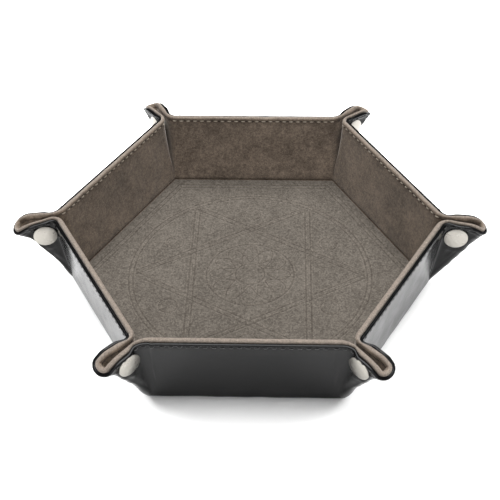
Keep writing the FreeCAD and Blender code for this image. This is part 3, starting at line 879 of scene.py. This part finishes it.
def hole_mesh(items, radius, name, mat):
    """Needle holes: small shallow cups that dimple the sheet."""
    verts, faces = [], []
    seg = 10
    for c, t, nn in items:
        t = t / np.linalg.norm(t)
        nn = nn / np.linalg.norm(nn)
        b = np.cross(t, nn)
        base = len(verts)
        for r, dz in ((1.0, 0.05), (0.8, 0.07), (0.5, -0.05), (0.0, -0.22), (1.0, -0.25)):
            if r == 0.0:
                verts.append(c + nn * dz)
                continue
            for k in range(seg):
                w = 2 * math.pi * k / seg
                verts.append(c + (t * math.cos(w) + b * math.sin(w)) * r * radius + nn * dz)
        r0, r1, r2, pole, r4 = base, base + seg, base + 2 * seg, base + 3 * seg, base + 3 * seg + 1
        for k in range(seg):
            k2 = (k + 1) % seg
            faces.append((r0 + k, r0 + k2, r1 + k2, r1 + k))
            faces.append((r1 + k, r1 + k2, r2 + k2, r2 + k))
            faces.append((r2 + k, r2 + k2, pole))
            faces.append((r4 + k2, r4 + k, r0 + k, r0 + k2)[::-1])
        faces.append(tuple(r4 + k for k in range(seg)))
    return make(name, verts, faces, mat)


def along(points, normals, pitch, phase=0.0):
    """Places at equal steps along a line: (point, tangent, normal)."""
    points, normals = np.asarray(points), np.asarray(normals)
    seg = np.linalg.norm(np.diff(points, axis=0), axis=1)
    s = np.concatenate([[0], np.cumsum(seg)])
    out = []
    x = phase
    while x < s[-1]:
        i = min(max(np.searchsorted(s, x) - 1, 0), len(seg) - 1)
        f = (x - s[i]) / max(seg[i], 1e-9)
        out.append((points[i] * (1 - f) + points[i + 1] * f, points[i + 1] - points[i], normals[i] * (1 - f) + normals[i + 1] * f))
        x += pitch
    return out, s[-1]


PITCH = 4.0
rng = np.random.RandomState(5)
for deg, name in WALLS.items():
    o, X, Y, Z, n = wall_frame(deg)
    body = name + "_wall"
    reach = SIDE / 2 + STITCH_Y * TT - (2.2 + 6.8 * STITCH_Y / H) / math.cos(TILT)
    count = int(2 * reach / PITCH)
    xs = (np.arange(count) - (count - 1) / 2) * PITCH
    items = [(o + x * X + (STITCH_Y + rng.normal(0, 0.04)) * Y + 0.12 * Z, X + Y * rng.normal(0, 0.02), -Z, 2.5) for x in xs]
    ob = stitch_mesh(items, 0.38, "stitch_lining_" + name, M_TAN)
    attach(ob, body)
    items = [(o + (x + PITCH / 2) * X + STITCH_Y * Y + 0.20 * Z, X, -Z) for x in xs[:-1]]
    items += [(o + (xs[0] - PITCH / 2) * X + STITCH_Y * Y + 0.20 * Z, X, -Z), (o + (xs[-1] + PITCH / 2) * X + STITCH_Y * Y + 0.20 * Z, X, -Z)]
    ob = hole_mesh(items, 0.36, "needle_holes_" + name, M_HOLE)
    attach(ob, body)
    reach = SIDE / 2 + STITCH_Y * TT - (4.5 + 4.5 * STITCH_Y / H) / math.cos(TILT)
    count = int(2 * reach / PITCH)
    xs = (np.arange(count) - (count - 1) / 2) * PITCH
    items = [(o + x * X + (STITCH_Y + rng.normal(0, 0.04)) * Y + 3.60 * Z, X + Y * rng.normal(0, 0.02), Z, 2.75) for x in xs]
    ob = stitch_mesh(items, 0.42, "stitch_cover_" + name, M_BLACK)
    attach(ob, body)

for h in halves:
    y1 = np.array([STITCH_Y - 0.2, STITCH_Y, STITCH_Y + 0.2])
    reach = SIDE / 2 + STITCH_Y * TT - (2.2 + 6.8 * STITCH_Y / H) / math.cos(TILT)
    start = PITCH - (reach - (int(2 * reach / PITCH) - 1) / 2 * PITCH)
    for which, cols, fn, dd in (("lining", LCOLS, h.lining, 0.12), ("cover", CCOLS, h.cover, 3.60)):
        grid = np.array([fn(c, y1, np.full(3, dd)) for c in cols])
        pts = grid[:, 1]
        tan = np.gradient(pts, axis=0)
        nor = np.cross(tan, grid[:, 2] - grid[:, 0])
        nor = nor / np.linalg.norm(nor, axis=1)[:, None]
        out = h.Z if which == "cover" else -h.Z
        nor = nor * np.sign(nor @ out)[:, None]
        places, total = along(pts, nor, PITCH, 1.6 if which == "cover" else start)
        if which == "cover":
            items = [(c, t, q, 2.6) for c, t, q in places if True]
            ob = stitch_mesh(items[:-1] if len(items) > 5 else items, 0.42, "stitch_cover_" + hname(h), M_BLACK)
            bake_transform(ob)
        else:
            ob = stitch_mesh([(c, t, q, 2.5) for c, t, q in places[:2]], 0.38, "stitch_lining_" + hname(h), M_TAN)
            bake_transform(ob)
            low_pts = np.array([fn(c, y1 - 0.55, np.full(3, 0.03))[1] for c in cols])
            low_places, total = along(low_pts, nor, PITCH, start)
            ob = hole_mesh([(c, t, q) for c, t, q in low_places[2:]], 0.46, "needle_holes_" + hname(h), M_HOLE)
            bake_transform(ob)

# ------------------------------------------------------------------------------------ ear cover names, split into corner and kind
for key in ear_cover:
    corner, kind = key.rsplit("_", 1)

# ------------------------------------------------------------------------------------ stage
scene = bpy.context.scene


def stage_floor():
    me = bpy.data.meshes.new("stage_floor")
    s, z = 4.0, -0.0002
    me.from_pydata([(-s, -s, z), (s, -s, z), (s, s, z), (-s, s, z)], [], [(0, 1, 2, 3)])
    ob = bpy.data.objects.new("stage_floor", me)
    scene.collection.objects.link(ob)
    m, nt, p = material("stage_white")
    p.inputs["Base Color"].default_value = (0.93, 0.93, 0.93, 1)
    p.inputs["Roughness"].default_value = 0.75
    p.inputs["Specular IOR Level"].default_value = 0.3
    me.materials.append(m)
    return ob


floor_ob = stage_floor()
world = bpy.data.worlds.new("studio")
scene.world = world
world.use_nodes = True
bg = world.node_tree.nodes["Background"]
bg.inputs["Color"].default_value = (1.0, 1.0, 1.0, 1)
bg.inputs["Strength"].default_value = 0.12


def area(name, loc, target, size, power, col=(1, 1, 1)):
    li = bpy.data.lights.new(name, "AREA")
    li.shape, li.size, li.size_y = "RECTANGLE", size[0], size[1]
    li.energy, li.color = power, col
    ob = bpy.data.objects.new(name, li)
    ob.location = loc
    ob.rotation_euler = (Vector(target) - Vector(loc)).to_track_quat("-Z", "Y").to_euler()
    scene.collection.objects.link(ob)
    return ob


key_l = area("key_left", (-0.95, 0.50, 0.62), (0, 0, 0.0), (0.8, 0.8), 26.0)
key_r = area("key_right", (0.95, 0.50, 0.62), (0, 0, 0.0), (0.8, 0.8), 20.0)
area("top", (0.0, 0.20, 1.09), (0, 0, 0), (0.9, 0.9), 25.0)
area("fill", (0.0, -0.85, 0.85), (0, 0, 0), (0.8, 0.8), 5.0)
# the two side lights are flagged off the tray: they only brighten the table top beside it
only = bpy.data.collections.new("table_top_only")
only.objects.link(floor_ob)
for li in (key_l, key_r):
    li.light_linking.receiver_collection = only

scene.view_settings.view_transform = "Standard"
scene.view_settings.look = "None"
scene.view_settings.exposure = 0.0

cam = bpy.data.cameras.new("camera")
cam.lens, cam.sensor_width = 78.75, 36.0
cam.clip_start, cam.clip_end = 0.01, 20
co = bpy.data.objects.new("camera", cam)
scene.collection.objects.link(co)
pitch, yaw, roll = math.radians(42.67), math.radians(-2.11), math.radians(-0.86)
fwd = Vector((math.sin(yaw) * math.cos(pitch), math.cos(yaw) * math.cos(pitch), -math.sin(pitch)))
right = Vector((math.cos(yaw), -math.sin(yaw), 0))
up = right.cross(fwd)
r2 = math.cos(roll) * right + math.sin(roll) * up
u2 = -math.sin(roll) * right + math.cos(roll) * up
target = Vector((-0.00055, 0.01935, 0.0038))
pos = target - 0.61505 * fwd
from mathutils import Matrix
co.matrix_world = Matrix(((r2.x, u2.x, -fwd.x, pos.x), (r2.y, u2.y, -fwd.y, pos.y), (r2.z, u2.z, -fwd.z, pos.z), (0, 0, 0, 1)))
scene.camera = co

bpy.context.view_layer.update()
